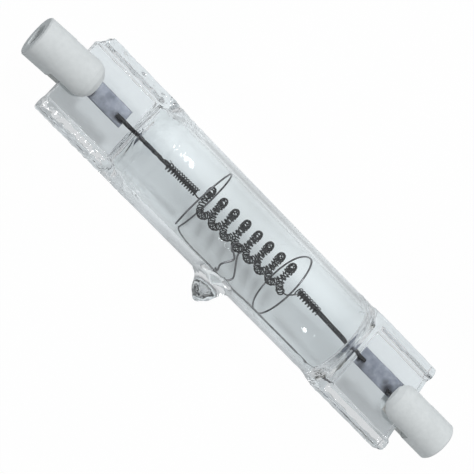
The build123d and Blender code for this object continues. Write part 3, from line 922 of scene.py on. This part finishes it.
studio = {
    "floorLevel": -6.5,
    "floorReach": 1500.0,
    "floorWhite": 0.985,
    "floorSpan": 40.0,
    # the floor's colour, with a painted pool of light beside the filament's ends and painted shade in the
    # middle and towards the pinches, from the bulb's middle to the span's end: share of the span and colour
    "floorPaintedLight": ((0.0, (0.73, 0.762, 0.778)), (0.32, (0.87, 0.908, 0.93)),
                     (0.55, (0.69, 0.727, 0.748)), (0.8, (0.675, 0.707, 0.728))),
    # painted shadow on the floor's colour across the bulb, darker beside it and under the filament: place
    # across and share
    "floorPaintedShade": ((-10.5, 0.76), (-8.0, 0.72), (-6.2, 0.8), (-4.2, 0.91), (-1.0, 0.83), (3.0, 1.0),
                    (5.2, 0.99), (7.6, 0.89), (9.0, 0.85), (10.5, 0.82), (12.0, 0.68), (13.5, 0.57),
                    (15.0, 0.5), (17.0, 0.54), (20.0, 0.66), (24.0, 0.76)),
    "throughGlass": 0.14,  # share of plain white in the floor that the glass shows
    "worldLight": 0.435,
    "worldLean": (0.35, -0.4, 0.0),  # the room is lighter towards +X and -Y
    # the room from its horizon up, through the glass and as its mirror image: height and colour
    "roomThrough": ((0.0, (0.4, 0.405, 0.41)), (0.6, (0.8, 0.81, 0.82))),
    "roomMirrored": ((0.1, (0.6, 0.61, 0.62)), (0.7, (0.2, 0.205, 0.21))),
    "keyPower": 0.5,
    "keyFrom": (-75, 150, 248),
    "keySize": 50,
    # seen as small highlights in the glass: place, power, width and length
    "stripLamps": (((61.5, 171, 241), 0.014, 3.4, 60), ((116, -236, 174), 0.003, 1.3, 40)),
    "target": (-1.6, 0.1, 0.0),
    "distance": 300.0,
    "tiltAlong": 17.0,
    "tiltAcross": 12.0,
    "roll": 45.57,
    "lens": 174.2,
    "sensor": 36.0,
    "clip": (0.01, 10.0),  # in metres
}


def paintedFloorTone(tree):
    # the floor's colour by its place along and across the bulb, with painted light and shade
    place = addNode(tree, "ShaderNodeTexCoord", (-1200, 0))
    parts = addNode(tree, "ShaderNodeSeparateXYZ", (-1000, 0))
    reach = addNode(tree, "ShaderNodeMath", (-800, 0), operation="ABSOLUTE")
    share = addNode(tree, "ShaderNodeMath", (-600, -100), operation="MULTIPLY")
    share.inputs[1].default_value = 1 / (studio["floorSpan"] * mm)
    # a painted pool of light along the bulb, with painted shade in its middle and towards the pinches
    paintedPool = addNode(tree, "ShaderNodeValToRGB", (-400, -100))
    paintedPool.color_ramp.interpolation = "EASE"
    setRamp(paintedPool, studio["floorPaintedLight"])
    # painted shadow across the bulb, darker beside it and under the filament
    spread = addNode(tree, "ShaderNodeMapRange", (-600, -400))
    paintedShade = addNode(tree, "ShaderNodeFloatCurve", (-400, -400))
    (first, firstLevel), *between, (last, lastLevel) = studio["floorPaintedShade"]
    setInputs(spread, {"From Min": first * mm, "From Max": last * mm})
    curve = paintedShade.mapping.curves[0]
    for across, level in between:
        curve.points.new((across - first) / (last - first), level)
    curve.points[0].location = (0.0, firstLevel)
    curve.points[-1].location = (1.0, lastLevel)
    paintedShade.mapping.update()
    paintedTone = addNode(tree, "ShaderNodeVectorMath", (-150, -250), operation="SCALE")
    connect(tree, (place, "Object", parts, "Vector"), (parts, "X", reach, 0), (reach, 0, share, 0),
                  (share, 0, paintedPool, "Fac"), (parts, "Y", spread, "Value"),
                  (spread, "Result", paintedShade, "Value"), (paintedPool, "Color", paintedTone, 0),
                  (paintedShade, "Value", paintedTone, "Scale"))
    return paintedTone.outputs["Vector"]


def makeFloor():
    # plain white for the camera, with painted light and shade for the rays that come through the glass
    material = bpy.data.materials.new("paleFloor")
    material.use_nodes = True
    tree = material.node_tree
    shader = tree.nodes["Principled BSDF"]
    setInputs(shader, {"Roughness": 0.9, "Specular IOR Level": 0.1})
    rays = addNode(tree, "ShaderNodeLightPath", (-800, 300))
    seen = addNode(tree, "ShaderNodeMath", (-600, 300), operation="MULTIPLY")
    seen.inputs[1].default_value = studio["floorWhite"]
    through = addNode(tree, "ShaderNodeMath", (-600, 100), operation="MAXIMUM")
    share = addNode(tree, "ShaderNodeMath", (-400, 100), operation="MULTIPLY")
    share.inputs[1].default_value = studio["throughGlass"]
    most = addNode(tree, "ShaderNodeMath", (-200, 200), operation="MAXIMUM")
    glow = addNode(tree, "ShaderNodeEmission", (0, -200))
    glow.inputs["Color"].default_value = (1, 1, 1, 1)
    mix = addNode(tree, "ShaderNodeMixShader", (250, 100))
    tree.links.new(paintedFloorTone(tree), shader.inputs["Base Color"])
    connect(tree, (rays, "Is Camera Ray", seen, 0), (rays, "Is Glossy Ray", through, 0),
                  (rays, "Is Transmission Ray", through, 1), (through, 0, share, 0), (seen, 0, most, 0),
                  (share, 0, most, 1), (most, 0, mix, "Fac"), (shader, "BSDF", mix, 1),
                  (glow, "Emission", mix, 2), (mix, "Shader", tree.nodes["Material Output"], "Surface"))
    reach, level = studio["floorReach"], studio["floorLevel"]
    corners = [(x * reach, y * reach, level) for x, y in ((-1, -1), (1, -1), (1, 1), (-1, 1))]
    floor = newMesh("floor", np.array(corners), [(0, 1, 2, 3)], material)


def makeWorld():
    # a lit room, with its own looks through the glass, mirrored in it, and for the camera (white)
    world = bpy.data.worlds.new("paleRoom")
    bpy.context.scene.world = world
    world.use_nodes = True
    tree = world.node_tree
    light = tree.nodes["Background"]
    light.inputs["Strength"].default_value = studio["worldLight"]
    lean = addNode(tree, "ShaderNodeVectorMath", (-700, 100), operation="DOT_PRODUCT")
    lean.inputs[1].default_value = studio["worldLean"]
    level = addNode(tree, "ShaderNodeMath", (-500, 100), operation="ADD")
    level.inputs[1].default_value = 1.0
    seen = addNode(tree, "ShaderNodeBackground", (-100, -200))
    place = addNode(tree, "ShaderNodeTexCoord", (-900, -200))
    height = addNode(tree, "ShaderNodeSeparateXYZ", (-700, -200))
    ramp = addNode(tree, "ShaderNodeValToRGB", (-500, -200))
    setRamp(ramp, studio["roomThrough"])
    dark = addNode(tree, "ShaderNodeBackground", (-100, -600))
    ceiling = addNode(tree, "ShaderNodeValToRGB", (-500, -500))
    setRamp(ceiling, studio["roomMirrored"])
    rays = addNode(tree, "ShaderNodeLightPath", (-700, 300))
    onceIn = 0.5  # a transmission depth over this has been inside the glass
    outside = addNode(tree, "ShaderNodeMath", (-500, 500), operation="LESS_THAN")
    outside.inputs[1].default_value = onceIn
    first = addNode(tree, "ShaderNodeMath", (-300, 400), operation="MULTIPLY")
    through = addNode(tree, "ShaderNodeMath", (-300, 200), operation="MAXIMUM")
    inside = addNode(tree, "ShaderNodeMath", (-500, 200), operation="GREATER_THAN")
    inside.inputs[1].default_value = onceIn
    mirrored = addNode(tree, "ShaderNodeMixShader", (50, -100))
    mix = addNode(tree, "ShaderNodeMixShader", (150, 0))
    white = addNode(tree, "ShaderNodeBackground", (-100, -400))
    white.inputs["Color"].default_value = (1, 1, 1, 1)
    last = addNode(tree, "ShaderNodeMixShader", (350, 0))
    connect(tree, (place, "Generated", lean, 0), (lean, "Value", level, 0), (level, 0, light, "Color"),
                  (place, "Generated", height, "Vector"), (height, "Z", ramp, "Fac"),
                  (ramp, "Color", seen, "Color"), (height, "Z", ceiling, "Fac"),
                  (ceiling, "Color", dark, "Color"), (rays, "Transmission Depth", outside, 0),
                  (rays, "Is Glossy Ray", first, 0), (outside, 0, first, 1),
                  (first, 0, mirrored, "Fac"), (light, "Background", mirrored, 1),
                  (dark, "Background", mirrored, 2), (rays, "Transmission Depth", inside, 0),
                  (rays, "Is Transmission Ray", through, 0), (inside, 0, through, 1),
                  (through, 0, mix, "Fac"), (mirrored, "Shader", mix, 1), (seen, "Background", mix, 2),
                  (rays, "Is Camera Ray", last, "Fac"), (mix, "Shader", last, 1),
                  (white, "Background", last, 2),
                  (last, "Shader", tree.nodes["World Output"], "Surface"))


def setPlace(piece, place, right, up, back):
    # links the piece and turns it so that it looks away from back
    bpy.context.scene.collection.objects.link(piece)
    turn = Matrix((right, up, back)).transposed()
    piece.matrix_world = Matrix.Translation(Vector(place) * mm) @ turn.to_4x4()


def makeLamp(name, power, place, size, length=None):
    light = bpy.data.lights.new(name, "AREA")
    light.shape = "RECTANGLE" if length else "DISK"
    light.size = size * mm
    light.size_y = (length or size) * mm
    light.energy = power
    # it faces the origin, with its length square to the bulb
    back = Vector(place).normalized()
    wide = (Vector((1, 0, 0)) - back * back.x).normalized()
    setPlace(bpy.data.objects.new(name, light), place, wide, back.cross(wide), back)


def makeCamera():
    along, across = math.radians(studio["tiltAlong"]), math.radians(studio["tiltAcross"])
    back = Vector((-math.sin(along), -math.sin(across) * math.cos(along),
                   math.cos(across) * math.cos(along))).normalized()
    lengthways = (Vector((1, 0, 0)) - back * back.x).normalized()
    upward = back.cross(lengthways)
    roll = math.radians(studio["roll"])
    right = lengthways * math.cos(roll) + upward * math.sin(roll)
    up = upward * math.cos(roll) - lengthways * math.sin(roll)
    data = bpy.data.cameras.new("camera")
    data.lens = studio["lens"]
    data.sensor_width = studio["sensor"]
    data.clip_start, data.clip_end = studio["clip"]
    camera = bpy.data.objects.new("camera", data)
    setPlace(camera, Vector(studio["target"]) + back * studio["distance"], right, up, back)
    bpy.context.scene.camera = camera


makeFloor()
makeWorld()
makeLamp("softKey", studio["keyPower"], studio["keyFrom"], studio["keySize"])
for place, power, width, length in studio["stripLamps"]:
    makeLamp("stripLamp", power, place, width, length)
makeCamera()
bpy.context.scene.view_settings.view_transform = "Standard"
print("floor, light and camera ready")


# hand the pieces to the frame

handed = (
    (quartzGlass, "quartz_envelope", "quartz"),
    (coiledFilament, "filament", "tungsten"),
    (wireFrame, "support_frame", "tungsten"),
    (middleHook, "filament_hook", "tungsten"),
    (foilLeft, "foil_left", "molybdenum_foil"),
    (foilRight, "foil_right", "molybdenum_foil"),
)
for piece, node, slot in handed:
    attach(piece, "root")
    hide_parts(node)

print("pieces handed over")
